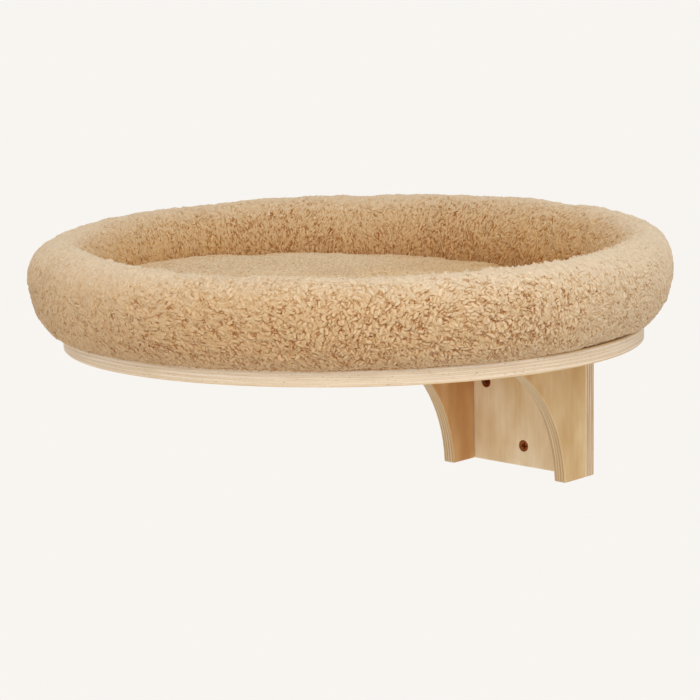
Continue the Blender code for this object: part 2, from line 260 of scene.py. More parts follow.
def ring_outer(angle):
    """The ring's outer radius: round, but no further towards the wall than the wall leaves room for."""
    room = (-BED_Y - WALL_CLEARANCE) / np.maximum(np.sin(angle), WALL_SIDE)
    return np.where(np.sin(angle) > WALL_SIDE, smooth_least(RING_RADIUS, room, SQUEEZE_BLEND), RING_RADIUS)


def ring_inner(angle):
    """The inner foot's radius. It gives way by a share of what the outside is pressed in."""
    return INNER_FOOT - INNER_SQUEEZE * (RING_RADIUS - ring_outer(angle))


def ring_crest(angle):
    """Radius and height of the crest: at the same share of the width all round, but for a hump inwards on the
    left, and tilted up towards the left and the wall, with one more hump at the front left."""
    outer, inner = ring_outer(angle), ring_inner(angle)
    share = (CREST_RADIUS - INNER_FOOT) / (RING_RADIUS - INNER_FOOT)
    height = CREST_HEIGHT - CREST_RISE_LEFT * np.cos(angle) + CREST_RISE_WALL * np.sin(angle)
    height = height + CREST_RISE_FRONT_LEFT * hump(angle, *FRONT_LEFT) + CREST_SQUEEZE * (RING_RADIUS - outer)
    return inner + share * (outer - inner) - CREST_IN_LEFT * hump(angle, *LEFT), height


# %% The ring's section
def ring_section(angle, travel):
    """Radius and height at an angle and a travel of 0 to 4 along the section: 0 outer foot, 1 widest point,
    2 crest, 3 inner foot, 4 outer foot again. Each of the first three stretches is a quarter of an ellipse,
    centre + reach * (cos, sin)^(2 / ROUNDNESS), and the fourth is straight but for the hem."""
    crest_radius, crest_height = ring_crest(angle)
    outer, inner = ring_outer(angle), ring_inner(angle)
    foot = smooth_least(OUTER_FOOT - FOOT_IN_RIGHT * hump(angle, *RIGHT), outer - FOOT_TUCK, FOOT_BLEND)
    widest = WIDEST_SHARE * crest_height
    stretch = [travel < 1, travel < 2, travel <= 3]
    turn = np.clip(np.select(stretch, [1 - travel, travel - 1, 3 - travel]), 0, 1) * math.pi / 2
    side, rise = (wave(turn) ** (2 / ROUNDNESS) for wave in (np.cos, np.sin))
    # For each quarter: the radius where side is 0 and where it is 1, and the height where rise is 0 and 1.
    quarters = (
        (foot, outer, widest, HEM_BOTTOM),
        (crest_radius, outer, widest, crest_height),
        (crest_radius, inner, RING_BOTTOM, crest_height),
    )
    radii = [at_0 + (at_1 - at_0) * side for at_0, at_1, _, _ in quarters]
    heights = [at_0 + (at_1 - at_0) * rise for _, _, at_0, at_1 in quarters]
    under = inner + (foot - inner) * (travel - 3)
    hem = RING_BOTTOM - (RING_BOTTOM - HEM_BOTTOM) * np.clip(travel - HEM_FROM, 0, 1)
    return np.select(stretch, radii, under), np.select(stretch, heights, hem)


# %% Even steps along a section, and points round the bed
def even_travel(section, low, high, count):
    """count values between low and high at which the section's points lie the same distance apart."""
    fine = np.linspace(low, high, 4001)
    radius, height = section(np.array(-math.pi / 2), fine)
    length = np.concatenate([[0], np.cumsum(np.hypot(np.diff(radius), np.diff(height)))])
    print(f"section from {low} to {high}: {1000 * length[-1]:.0f} mm")
    return np.interp(np.linspace(0, length[-1], count), length, fine)


def round_the_bed(angle, radius, height):
    """Points from angles about the bed's centre, radii, and heights above the board."""
    x = BED_X + radius * np.cos(angle)
    y = BED_Y + radius * np.sin(angle)
    return np.stack([x, y, BOARD_TOP + height], -1)


# %% [markdown]
# Plush of this kind is knitted with long, fine fibres that curl together into soft tufts like small worms.
# A hair system would need millions of strands and can't be exported. Here each tuft is a bent, rounded ridge.
# The tufts are scattered over a flat map of the surface, and at each point the highest one wins, so that they
# overlap and leave thin creases between them. The map also says which tuft won and how far its edge is.


# %% Smooth random fields
def wander(rows, columns, row_pitch, column_pitch, size, seed):
    """White noise smoothed by a Gaussian of the given size, scaled to a spread of 1. Its edges meet."""
    noise = np.random.default_rng(seed).standard_normal((rows, columns))
    across = np.fft.fftfreq(rows, row_pitch)[:, None]
    along = np.fft.rfftfreq(columns, column_pitch)[None, :]
    keep = np.exp(-2 * (math.pi * size / 2) ** 2 * (across**2 + along**2))
    smooth = np.fft.irfft2(np.fft.rfft2(noise) * keep, (rows, columns))
    return smooth / smooth.std()


# %% The tufts that are scattered
def scatter_tufts(nap, look, seed, girth):
    """One tuft for each cell of nap, which says which way it points. Its values are the place of its root in
    the cell, 0 to 1 both ways, its direction, length, half width, lift and bend, and its number. look says
    between which lengths and widths in mm, how high a lift, and how large a scatter and bend."""
    random = np.random.default_rng(seed)
    many = nap.shape
    values = [
        random.uniform(0, 1, many),
        random.uniform(0, 1, many),
        nap + random.normal(0, look["scatter"], many),
        random.uniform(*look["length"], many),
        random.uniform(*look["half_width"], many) * girth,
        random.uniform(0, look["lift"], many),
        random.normal(0, look["bend"], many),
        np.arange(nap.size).reshape(many),
    ]
    return np.stack(values, -1).astype(np.float32)


# %% The tuft map
NO_CLAIM = -9
LEAST_GROWTH = 0.2


def tuft_map(x, y, spacing, nap, look, seed, girth=1.0):
    """Plump, close packed tufts over points (x, y), in mm, rooted in a lattice that repeats in x. A tuft's
    claim to a point is lift - s^6 - d^2, with s along it, -1 to 1, and d across it from its bent middle line,
    over its half width. The highest claim wins. A point's distance from the nearest crease is the lead over
    the second highest claim, divided by how fast that lead grows. Returns that distance, the highest claim,
    the winner's number, its s and d, and its direction. girth makes tufts thicker or thinner from cell to
    cell. Each pass of the loop looks at one neighbouring cell, for all points at once."""
    many = nap.shape
    tuft = scatter_tufts(nap, look, seed, girth)
    x, y = np.broadcast_arrays(x.astype(np.float32), y.astype(np.float32))
    cell_x, cell_y = (np.floor(v / p).astype(int) for v, p in ((x, spacing[0]), (y, spacing[1])))
    steps = [int(math.ceil(look["length"][1] / 2 / p)) for p in spacing]
    # For the best and the second best: the claim and its slope in x and in y.
    best, second = (np.zeros((*x.shape, 3), np.float32) for _ in range(2))
    best[..., 0] = second[..., 0] = NO_CLAIM
    winner = np.zeros(x.shape, int)
    place = np.zeros((*x.shape, 2), np.float32)
    for step_x in range(-steps[0], steps[0] + 1):
        for step_y in range(-steps[1], steps[1] + 1):
            row, column = cell_x + step_x, cell_y + step_y
            near = tuft[row % many[0], np.clip(column, 0, many[1] - 1)]
            root_x, root_y, turn, length, half_width, lift, bend, number = (near[..., i] for i in range(8))
            to_x, to_y = x - (row + root_x) * spacing[0], y - (column + root_y) * spacing[1]
            cos, sin = np.cos(turn), np.sin(turn)
            s = 2 * (to_x * cos + to_y * sin) / length
            d = (to_y * cos - to_x * sin) / half_width - bend * (s * s - 0.3)
            slope_s, slope_d = (4 * bend * s * d - 6 * s**5) * 2 / length, -2 * d / half_width
            slopes = (slope_s * cos - slope_d * sin, slope_s * sin + slope_d * cos)
            claim = np.stack([lift - s**6 - d * d, *slopes], -1)
            wins = claim[..., 0] > best[..., 0]
            close = ~wins & (claim[..., 0] > second[..., 0])
            second[wins], second[close] = best[wins], claim[close]
            best[wins], winner[wins] = claim[wins], number[wins].astype(int)
            place[wins] = np.stack([s, d], -1)[wins]
    growth = np.linalg.norm(best[..., 1:] - second[..., 1:], axis=-1)
    crease = (best[..., 0] - second[..., 0]) / np.maximum(growth, LEAST_GROWTH)
    turn = tuft[..., 2].reshape(-1)[winner]
    print(f"{nap.size} tufts over {x.size} points, {np.median(crease):.2f} mm from a crease")
    return {"crease": crease, "claim": best[..., 0], "winner": winner, "place": place, "turn": turn}


# %% Heights from the tuft map
# A crease is deepest for claims below the first of these, and faint past the second.
DEEP_CREASE, FAINT_CREASE = 0.6, 2.1
# Below this claim a point lies in a hollow between tufts.
HOLLOW_CLAIM = 0.4


def crease_strength(claim):
    """A crease is deep where two tufts meet at their edges, and faint where they meet near their middles."""
    return np.clip((FAINT_CREASE - claim) / (FAINT_CREASE - DEEP_CREASE), 0.1, 1)


def tuft_height(pile, look):
    """Height in mm: a pillow rounded down to the creases, a slope up to the tip, and a hollow where no tuft
    has much of a claim."""
    pillow = 1 - crease_strength(pile["claim"]) * (1 - np.clip(pile["crease"] / look["round"], 0, 1)) ** 2
    slope = look["slope"] * np.clip(pile["place"][..., 0], -1, 1)
    return look["tall"] * pillow + slope + look["pit"] * np.clip(pile["claim"] - HOLLOW_CLAIM, -2, 0)


def soften(field, passes):
    """Each pass mixes a point with its four neighbours, half and half."""
    for _ in range(passes):
        beside = np.roll(field, 1, 0) + np.roll(field, -1, 0)
        before = np.concatenate([field[:, :1], field[:, :-1]], 1)
        after = np.concatenate([field[:, 1:], field[:, -1:]], 1)
        field = field / 2 + (beside + (after + before)) / 8
    return field


# %% Directions on a surface
def directions(points, closed):
    """Unit vectors round the piece, along its section and out of it, from differences between neighbours."""
    round_it = np.roll(points, -1, 0) - np.roll(points, 1, 0)
    if closed:
        along = np.roll(points, -1, 1) - np.roll(points, 1, 1)
    else:
        along = np.gradient(points, axis=1)
    round_it /= np.linalg.norm(round_it, axis=-1, keepdims=True)
    along /= np.linalg.norm(along, axis=-1, keepdims=True)
    out = np.cross(round_it, along)
    return round_it, along, out / np.linalg.norm(out, axis=-1, keepdims=True)


# %% [markdown]
# A stuffed cover isn't an even tube. It is sewn down round its foot, the filling pushes it out between the
# stitches, and it creases where there is more cloth than it needs. Blender's cloth simulation finds such
# swells: a coarse copy is blown up by pressure for a few steps and then deleted. Only its departures from an
# even shape are kept, so that the outline measured from the photograph stays as it is.

# %% Settings of the cloth simulation
SWELL_FRAMES = 20
SWELL_CAP = 0.0025
SWELL_SHARE = 0.35
SWELL_START = 0.0004
SLACK = 0.015
PRESSURE = 4.0
BENDING = 0.1
EVEN_WAVES = 10


def blow(cover, sewn):
    """Runs the cloth simulation on a cover, held where sewn is 1, and returns where its points end up."""
    group = cover.vertex_groups.new(name="sewn")
    group.add(np.flatnonzero(sewn.ravel() > 0.5).tolist(), 1.0, "REPLACE")
    cloth = cover.modifiers.new("cloth", "CLOTH")
    cloth.settings.vertex_group_mass = "sewn"
    cloth.settings.use_pressure = True
    cloth.settings.uniform_pressure_force = PRESSURE
    cloth.settings.shrink_min = -SLACK
    cloth.settings.effector_weights.gravity = 0.0
    cloth.settings.bending_stiffness = BENDING
    cloth.point_cache.frame_end = SWELL_FRAMES
    for frame_number in range(1, SWELL_FRAMES + 1):
        bpy.context.scene.frame_set(frame_number)
    shaped = cover.evaluated_get(bpy.context.evaluated_depsgraph_get()).data
    places = np.empty(3 * len(shaped.vertices), np.float32)
    shaped.vertices.foreach_get("co", places)
    bpy.context.scene.frame_set(1)
    return places.reshape(-1, 3)


# %% Swells of a stuffed cover
def blown_up(coarse, ends, sewn, seed):
    """Simulates a coarse grid under pressure. Returns how far each point came out of the surface, in metres,
    without the slowest waves round the piece, and capped by cap * tanh(swell / cap). The pile evens the swells
    out, so that only a share of them shows."""
    rows, columns = coarse.shape[:2]
    out = directions(coarse, closed=ends is None)[2]
    out = -out if out[0, np.argmax(coarse[0, :, 2]), 2] < 0 else out
    random = np.random.default_rng(seed).normal(0, SWELL_START, (rows, columns))
    start = coarse + (soften(random, 2) * (1 - sewn))[..., None] * out
    cover = round_piece("cover_to_blow_up", start, ends=ends)
    moved = blow(cover, sewn)[: rows * columns].reshape(rows, columns, 3) - coarse
    mesh = cover.data
    bpy.data.objects.remove(cover)
    bpy.data.meshes.remove(mesh)
    waves = np.fft.rfft((moved * out).sum(-1), axis=0)
    waves[: EVEN_WAVES + 1] = 0
    swell = np.fft.irfft(waves, rows, axis=0)
    print(f"moved {1000 * np.abs(moved).max():.1f} mm at most, swells of {1000 * swell.std():.2f} mm")
    return SWELL_SHARE * SWELL_CAP * np.tanh(swell / SWELL_CAP)


def refined(grid, rows, columns):
    """Reads a coarse grid at finer rows and columns, given as positions in it. Rows are periodic. Between two
    grid lines it goes by the smooth step 3 t^2 - 2 t^3."""
    for axis, places in ((0, rows), (1, columns)):
        low = np.floor(places).astype(int)
        share = places - low
        share = share * share * (3 - 2 * share)
        count = grid.shape[axis]
        after = (low + 1) % count if axis == 0 else np.minimum(low + 1, count - 1)
        share = share[:, None] if axis == 0 else share[None, :]
        grid = np.take(grid, low, axis) * (1 - share) + np.take(grid, after, axis) * share
    return grid


# %% [markdown]
# Plush fibre is polyester, pale and matt, with a little sheen where the fibres are seen along their tips.
# Light that goes down between the tufts comes back warmer and darker, so the crease colour is an orange tan,
# and it is mixed in by how near a point is to the edge of its tuft and how low it lies. A pattern of its own
# would not meet the shapes. The tuft map already knows all this, so each point stores it for the colour.


# %% The plush finish
def plush(name, colours, streak_depth):
    """colours runs from the creases over the body to the tips; the crease colour is painted shade. Colour goes
    by depth in the pile, which carries painted light and shade, and differs a little from tuft to tuft, with
    fine streaks along each tuft, in the tuft's own coordinates."""
    constants = {"Roughness": 0.95, "Specular IOR Level": 0.2, "Sheen Weight": 0.42, "Sheen Roughness": 0.5}
    material, tree, shader = new_material(name, constants | {"Sheen Tint": linear("#FFF1DC")})
    names = ("depth", "tone", "warmth", "lock")
    depth, tone, warmth, lock = (add(tree, "Attribute", attribute_name=stored).outputs for stored in names)
    streaks = add(tree, "TexNoise", {"Vector": lock["Vector"], "Scale": 1.0, "Detail": 2.0})
    limits = {"From Min": 0.25, "From Max": 0.75, "To Min": -0.2, "To Max": 0.2}
    shift = add(tree, "MapRange", {"Value": streaks} | limits)
    ramp = add(tree, "ValToRGB", [add(tree, "Math", [depth["Fac"], shift], operation="ADD")])
    ramp.color_ramp.elements.new(0.55)
    for stop, colour in zip(ramp.color_ramp.elements, colours):
        stop.color = linear(colour)
    varied = add(tree, "HueSaturation", {"Color": ramp, "Saturation": warmth["Fac"], "Value": tone["Fac"]})
    bump = add(tree, "Bump", {"Height": streaks, "Strength": 0.5, "Distance": streak_depth})
    fill(shader, {"Base Color": varied, "Normal": bump})
    return material


# Curled pile: soft and matt, with deep, warm creases that give it its grain. Their colour is painted shade.
LONG_PLUSH = plush("sherpa plush, curled polyester pile", ("#905012", "#C8A477", "#E0CCB0"), 0.0006)
# Brushed pile: paler and flatter, because its creases are shallow, so its painted crease shade is lighter.
SHORT_PLUSH = plush("short plush, brushed polyester pile", ("#A9713C", "#D7B68A", "#EAD5B4"), 0.0003)

# %% [markdown]
# The ring's tufts stand up to 2 mm out of its knitted ground. The ground lies inside the ring's measured
# outline, so that the tips reach it. The pile falls away from the crest on both sides, with swirls in it, and
# the tufts lean the way they point, which lets one hang over the next.

# %% The ring's grid
RING_ROWS = 2200
RING_COLUMNS = 285
UNDER_COLUMNS = 14
PILED = slice(0, RING_COLUMNS)


def ring_grid():
    """The grid's angles, its travels along the section, and the points of the ground that the pile stands on:
    the ring's section carried round the bed."""
    angle = (np.arange(RING_ROWS) * math.tau / RING_ROWS)[:, None]
    travel = even_travel(ring_section, 0, 3, RING_COLUMNS)
    under = np.linspace(3, 4, UNDER_COLUMNS + 2)[1:-1]
    radius, height = ring_section(angle, np.concatenate([travel, under])[None, :])
    return angle, travel, round_the_bed(angle, radius, height)


# %% The ring's tufts
# Sizes in millimetres, as on the real plush, turns in radians, and the most that is added to a claim, lift.
RING_TUFTS = {
    "spacing": 2.1,
    "length": (3.5, 7.5),
    "half_width": (0.85, 1.4),
    "lift": 2.5,
    "bend": 0.8,
    "scatter": 0.5,
    "round": 0.95,
    "tall": 1.4,
    "slope": 0.35,
    "pit": 0.4,
}
MAP_RADIUS = 225.0
SWIRL_SIZE = 22
# How much thinner the tufts get along the section, from the outer foot to the inner one.
SLIM_AT = (0, 0.15, 0.45, 0.65, 1.0)
SLIM = (1.0, 0.95, 1.0, 0.9, 0.8)


def ring_tufts(angle, travel, ground):
    """The tuft map, as long as the ring's girth and as wide as its section, and the sizes of the ring's grid
    on it. The nap falls away from the crest: fall is the tanh of 4 times the travel from it, -1 to 1."""
    steps = np.linalg.norm(np.diff(ground[0, PILED], axis=0), axis=-1)
    length = np.concatenate([[0], np.cumsum(steps)]) * 1000
    girth = math.tau * MAP_RADIUS
    many = [round(size / RING_TUFTS["spacing"]) for size in (girth, length[-1])]
    spacing = [girth / many[0], length[-1] / many[1]]
    fall = np.tanh(4 * (np.interp((np.arange(many[1]) + 0.5) * spacing[1], length, travel) - 2))[None, :]
    swirl = [0.8 * wander(*many, *spacing, SWIRL_SIZE, seed) for seed in (11, 12)]
    # On the outside the tufts also point round the ring, so that their strokes run diagonally.
    nap = np.arctan2(1.8 * fall + swirl[0], swirl[1] + 1.1 * (fall < 0))
    slim = np.interp(np.arange(many[1]) / many[1], SLIM_AT, SLIM)[None, :]
    pile = tuft_map(angle * MAP_RADIUS, length[None, :], spacing, nap, RING_TUFTS, 5, slim)
    return pile, (RING_ROWS, RING_COLUMNS, girth / RING_ROWS, length[-1] / RING_COLUMNS)


# %% [markdown]
# Not all of the ring is equally curled. It is loose and lively at the front, and brushed flatter at the sides
# and along the crest. Here and there the pile parts and leaves a dimple. On the crest a few curls stand up.

# %% How curled the ring's pile is
CURLED_FRONT = -0.58


def curliness(angle, travel):
    """How strongly the pile is curled, from shares that are read off along the section. On the outside it is
    brushed at the sides, by 1 - cos^3 of the angle from the curled front, and less so near the foot."""
    brushed = 0.68 * (1 - np.clip(np.cos(angle - CURLED_FRONT), 0, 1) ** 3)
    brushed = brushed * np.interp(travel, [0.6, 1.4], [0.5, 1])[None, :]
    outside = np.interp(travel, [0, 0.6, 1.3, 1.7, 2.1], [1.2, 1.15, 0.87, 0.45, 0.25])[None, :]
    inside = np.interp(travel, [2.1, 2.35, 3.0], [0.3, 0.75, 0.9])[None, :]
    return np.where(travel[None, :] < 2.1, outside * (1 - brushed), inside)


# %% The relief of the ring's pile
# Sizes in millimetres of what is uneven, and how rough the pile is at least and at most.
FINE_PATCH, WIDE_PATCH, DIMPLE, CURL = 2.5, 60, 4, 1.5
ROUGH_RANGE = (0.15, 1.2)


def ring_relief(angle, travel, pile, sizes):
    """How rough the pile is, its dimples from 0 to 1, and its height in mm: tufts that are lower where it is
    smooth, less the dimples, plus the loose curls on the crest."""
    patches = 0.12 * wander(*sizes, FINE_PATCH, 19), 0.08 * wander(*sizes, WIDE_PATCH, 20)
    rough = np.clip(curliness(angle, travel) + patches[0] + patches[1], *ROUGH_RANGE)
    # A dimple opens where its noise passes 2.3 times its spread, and only in rough pile.
    dimples = np.clip(1.2 * wander(*sizes, DIMPLE, 21) - 2.8, 0, 1) * np.clip(2 * rough - 0.8, 0, 1)
    high = soften(tuft_height(pile, RING_TUFTS) * (0.4 + 0.6 * rough), 1) - 1.2 * dimples
    # Loose curls stand up along the crest, where their noise passes its own spread.
    loose = np.interp(travel, [1.7, 1.95, 2.3, 2.5], [0, 1, 1, 0])[None, :]
    loose = loose * (0.3 + 0.7 * np.clip(1.5 * np.cos(angle - CURLED_FRONT), 0, 1))
    return rough, dimples, high + 1.1 * loose * np.clip(wander(*sizes, CURL, 22) - 1.0, 0, 1.5)


# %% How pale and how warm the ring's pile is: painted light and shade
PALE_AT = (0, 0.03, 0.08, 0.6, 1.2, 1.7, 2.1, 2.35, 2.55, 2.75)
PAINTED_LIGHT_AND_SHADE = (0.45, 0.5, 0.6, 0.63, 0.72, 0.9, 1.0, 0.83, 0.7, 0.48)
PAINTED_LIGHT_RIGHT = 0.36
PAINTED_SHADE_LEFT = 0.13
ACROSS_VIEW = 0.764


def ring_tones(angle, travel, dimples):
    """How near the pile's colour is to that of its tips, read off along the section, and its saturation. Both
    are painted light and shade: paler towards the crest and on the outside at the right, darker at both
    feet, in the dimples and on the outside at the left. Down in the ring, and most at the two ends of the
    view, the light comes off other plush first, so the inner side is painted darker and warmer downwards."""
    # Painted light and shade along the section, and painted shade in the dimples.
    pale = np.interp(travel, PALE_AT, PAINTED_LIGHT_AND_SHADE)[None, :] * (1 - 0.5 * dimples)
    # Painted light on the outside at the right.
    pale = pale * (1 + PAINTED_LIGHT_RIGHT * np.clip(np.cos(angle - RIGHT[0]), 0, 1) ** 2 * (travel < 2))
    # Painted shade on the outside at the left.
    left = np.clip(-np.cos(angle - CURLED_FRONT), 0, 1) * np.clip((2.3 - travel) / 0.2, 0, 1)
    # Painted shade and warmth on the inner side, most at the two ends of the view.
    ends = 0.04 + 0.10 * np.cos(angle - ACROSS_VIEW) ** 2
    return pale * (1 - PAINTED_SHADE_LEFT * left), 1 + ends * np.interp(travel, [2.15, 2.45], [0, 1])[None, :]


# %% Swells of the ring
SWELL_STEP_ROUND = 10
SWELL_STEP_ALONG = 6
STITCHES = 3


def ring_swells(ground):
    """The ring is sewn to the base cloth all along its underside, and with stitches along both its feet."""
    picked = np.arange(0, RING_COLUMNS, SWELL_STEP_ALONG)
    columns = np.concatenate([picked, RING_COLUMNS + np.arange(2, UNDER_COLUMNS, 5)])
    coarse = ground[::SWELL_STEP_ROUND][:, columns]
    sewn = np.zeros(coarse.shape[:2])
    sewn[:, picked.size :] = 1
    sewn[::STITCHES, 0] = sewn[::STITCHES, picked.size - 1] = 1
    swell = blown_up(coarse, None, sewn, 51)[:, : picked.size]
    return refined(swell, np.arange(RING_ROWS) / SWELL_STEP_ROUND, np.arange(RING_COLUMNS) / SWELL_STEP_ALONG)


# %% The fringe over the board's rim
BOARD_X = (BOARD_LOW.x + BOARD_HIGH.x) / 2
BOARD_Y = (BOARD_LOW.y + BOARD_HIGH.y) / 2
BOARD_RADIUS = (BOARD_HIGH.x - BOARD_LOW.x) / 2
PILE_HANG = 0.0015
PILE_CLEAR = 0.0001
SKIRT_REACH = 0.07
SKIRT_OUT = 0.0010
print(f"board: {2000 * BOARD_RADIUS:.0f} mm across, under a fringe {1000 * PILE_HANG:.1f} mm long")


def lowest_for_pile(points):
    """On the board the pile lies on its top. Past the board's edge it hangs a little lower."""
    past = np.hypot(points[..., 0] - BOARD_X, points[..., 1] - BOARD_Y) > BOARD_RADIUS
    return BOARD_TOP + np.where(past, -PILE_HANG, PILE_CLEAR)


def hang_fringe(ground, angle, travel, high):
    """Along the outer foot the lowest tufts hang over the board's rim as a short fringe, shorter at the
    right: out and down by exp(-(travel / reach)^2), and more where a tuft is high."""
    skirt = np.exp(-((travel / SKIRT_REACH) ** 2))[None, :] * (0.4 + 0.6 * np.clip(high / 1.5, 0, 1))
    skirt = skirt * (1 - 0.6 * hump(angle, *RIGHT))
    outward = np.concatenate([np.cos(angle), np.sin(angle), 0 * angle], -1)[:, None, :]
    ground[:, PILED] += skirt[..., None] * (SKIRT_OUT * outward - (0, 0, PILE_HANG))
    ground[..., 2] = np.maximum(ground[..., 2], lowest_for_pile(ground))


# %% What the plush finish reads
def store_tufts(piece, shape, pile, rough, pale, warmth, seed):
    """Gives a piece its depth in the pile, tone, warmth and the streaks' coordinates, from the tuft map. The
    columns past the map, on the underside, get plain values. Depth is pale, less the painted shade of the
    crease line, of the broad shade beside it and of the hollows between tufts."""
    winner, claim, place = pile["winner"], pile["claim"], pile["place"]
    tones = np.random.default_rng(seed).normal(1.0, 0.025, winner.max() + 1)
    # Painted shade: the crease line, the broad shade beside it and the hollows between tufts darken the
    # colour.
    line = crease_strength(claim) * (1 - np.clip((pile["crease"] - 0.05) / (0.2 + 0.2 * rough), 0, 1))
    shade = 0.2 * rough * (1 - np.clip(pile["crease"] / 1.1, 0, 1))
    pit = np.clip(0.6 * (HOLLOW_CLAIM - claim), 0, 1)
    fields = {
        "depth": (0.3, np.clip(pale * (1 - line * (0.1 + 0.8 * rough) - shade - pit * rough), 0, 1)),
        "tone": (1.0, tones[winner]),
        "warmth": (1.0, warmth),
        "lock": (0.0, np.stack([place[..., 0], place[..., 1] * 1.5, winner * 3.7], -1)),
    }
    for name, (plain, values) in fields.items():
        field = np.full((*shape, *values.shape[2:]), plain)
        field[:, : values.shape[1]] = values
        give(piece, name, field.reshape(-1, *values.shape[2:]))


# %% Making the plush ring
PILE_SINK = 0.0019
LEAN = 0.3
LUMPS = ((0.0004, 40, 23), (0.0002, 12, 29), (0.0002, 4.5, 30))
FADE_COLUMNS = 4


def make_ring():
    """The ground is moved out by lumps, swells and pile, and sideways by the lean of its tufts. Both fade out
    over the last columns at each foot."""
    angle, travel, ground = ring_grid()
    round_it, along, out = directions(ground, closed=True)
    out = -out if out[0, RING_COLUMNS // 2, 2] < 0 else out
    pile, sizes = ring_tufts(angle, travel, ground)
    rough, dimples, high = ring_relief(angle, travel, pile, sizes)
    pale, warmth = ring_tones(angle, travel, dimples)
    column = np.arange(RING_COLUMNS)
    fade = np.clip(np.minimum(column + 1, column[::-1]) / FADE_COLUMNS, 0, 1)[None, :]
    lumps = sum(height * wander(*sizes, size, seed) for height, size, seed in LUMPS)
    lumps = lumps + ring_swells(ground)
    turn = pile["turn"]
    aim = np.cos(turn)[..., None] * round_it[:, PILED] + np.sin(turn)[..., None] * along[:, PILED]
    ground[:, PILED] += ((lumps + high / 1000 - PILE_SINK) * fade)[..., None] * out[:, PILED]
    ground[:, PILED] += (LEAN * high / 1000 * fade)[..., None] * aim
    hang_fringe(ground, angle, travel, high)
    ring = round_piece("bolster_plush", ground, material=LONG_PLUSH)
    store_tufts(ring, ground.shape[:2], pile, rough, pale, warmth, 7)
    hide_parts("bolster_cover", "bolster_filling")
    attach(ring, "bed")


make_ring()

# %% [markdown]
# The floor of the bed is a flat cushion inside the ring. Its plush is shorter and is brushed by the cat, so
# its tufts are small and low. Its top is slightly domed and falls towards the ring, where it tucks under.
# The tuft map is used once more, with smaller sizes, so that the two plushes look like one family.

# %% Sizes of the floor cushion, in metres
FLOOR_HEIGHT = 0.0315
FLOOR_RISE_LEFT = 0.008
FLOOR_FALL_WALL = 0.003
FLOOR_CROWN = 0.004
FLOOR_SHOULDER = 0.005
FLOOR_GAP = 0.0003
FLOOR_BOTTOM = 0.0052
SHOULDER_FROM = 0.8
print(f"cushion: {1000 * FLOOR_HEIGHT:.0f} mm high where it meets the ring")


def inner_wall(angle, height):
    """Radius of the ring's inner side at a height: the third quarter of its section, solved for it."""
    crest_radius, crest_height = ring_crest(angle)
    rise = np.clip((height - RING_BOTTOM) / (crest_height - RING_BOTTOM), 0, 1)
    return crest_radius - (crest_radius - ring_inner(angle)) * (1 - rise**ROUNDNESS) ** (1 / ROUNDNESS)


def floor_section(angle, travel):
    """Radius and height of the cushion: travel 0 to 1 from its foot up along the ring's inner side and over
    its shoulder, 1 to 2 in to the middle. The shoulder is a quarter circle, and the top is tilted a little and
    domed by crown (1 - share^2)."""
    tilt = FLOOR_RISE_LEFT * np.cos(angle) + FLOOR_FALL_WALL * np.sin(angle)
    outer = inner_wall(angle, FLOOR_HEIGHT - tilt - FLOOR_SHOULDER) - FLOOR_GAP
    radius = np.where(travel < 1, outer, (outer - FLOOR_SHOULDER) * (2 - travel))
    share = radius / INNER_FOOT
    top = FLOOR_HEIGHT - tilt * share + FLOOR_CROWN * (1 - share**2)
    wall_end = top - FLOOR_SHOULDER
    low = FLOOR_BOTTOM + (wall_end - FLOOR_BOTTOM) * np.clip(travel / SHOULDER_FROM, 0, 1)
    turn = np.clip((travel - SHOULDER_FROM) / (1 - SHOULDER_FROM), 0, 1) * math.pi / 2
    side = np.minimum(inner_wall(angle, low) - FLOOR_GAP, outer) - FLOOR_SHOULDER * (1 - np.cos(turn))
    height = np.where(travel < SHOULDER_FROM, low, wall_end + FLOOR_SHOULDER * np.sin(turn))
    return np.where(travel < 1, side, radius), np.where(travel < 1, height, top)


# %% Tufts and swells of the cushion
FLOOR_ROWS = 1000
FLOOR_COLUMNS = 190
FLOOR_TUFTS = {
    "spacing": 2.0,
    "length": (3.0, 6.0),
    "half_width": (0.8, 1.3),
    "lift": 1.0,
    "bend": 0.5,
    "scatter": 0.6,
    "round": 0.8,
    "tall": 1.1,
    "slope": 0.4,
    "pit": 0.3,
}
FLOOR_MAP = 380.0
FLOOR_SWIRL = 30
FLOOR_STEP_ROUND = 10
FLOOR_STEP_ALONG = 5
NARROW_COLUMNS = 20


def floor_tufts(x, y):
    """The tuft map over points in mm from the middle: a square in which the nap turns at random."""
    many = (round(FLOOR_MAP / FLOOR_TUFTS["spacing"]),) * 2
    spacing = (FLOOR_MAP / many[0],) * 2
    nap = np.arctan2(*[wander(*many, *spacing, FLOOR_SWIRL, seed) for seed in (31, 32)])
    return tuft_map(x + FLOOR_MAP / 2, y + FLOOR_MAP / 2, spacing, nap, FLOOR_TUFTS, 33)


def floor_swells(ground):
    """The cushion is sewn to the base cloth round its foot. The grid is left out near its middle, where its
    cells get too narrow to simulate."""
    picked = np.arange(0, FLOOR_COLUMNS - NARROW_COLUMNS, FLOOR_STEP_ALONG)
    coarse = ground[::FLOOR_STEP_ROUND][:, picked]
    sewn = np.zeros(coarse.shape[:2])
    sewn[:, 0] = 1
    swell = blown_up(coarse, (ground[:, 0].mean(0), ground[:, -1].mean(0)), sewn, 52)
    columns = np.minimum(np.arange(FLOOR_COLUMNS) / FLOOR_STEP_ALONG, picked.size - 1)
    return refined(swell, np.arange(FLOOR_ROWS) / FLOOR_STEP_ROUND, columns)


# %% How pale and how warm the cushion is: painted shade
PAINTED_SHADE_SIDE = (0.72, 0.69)


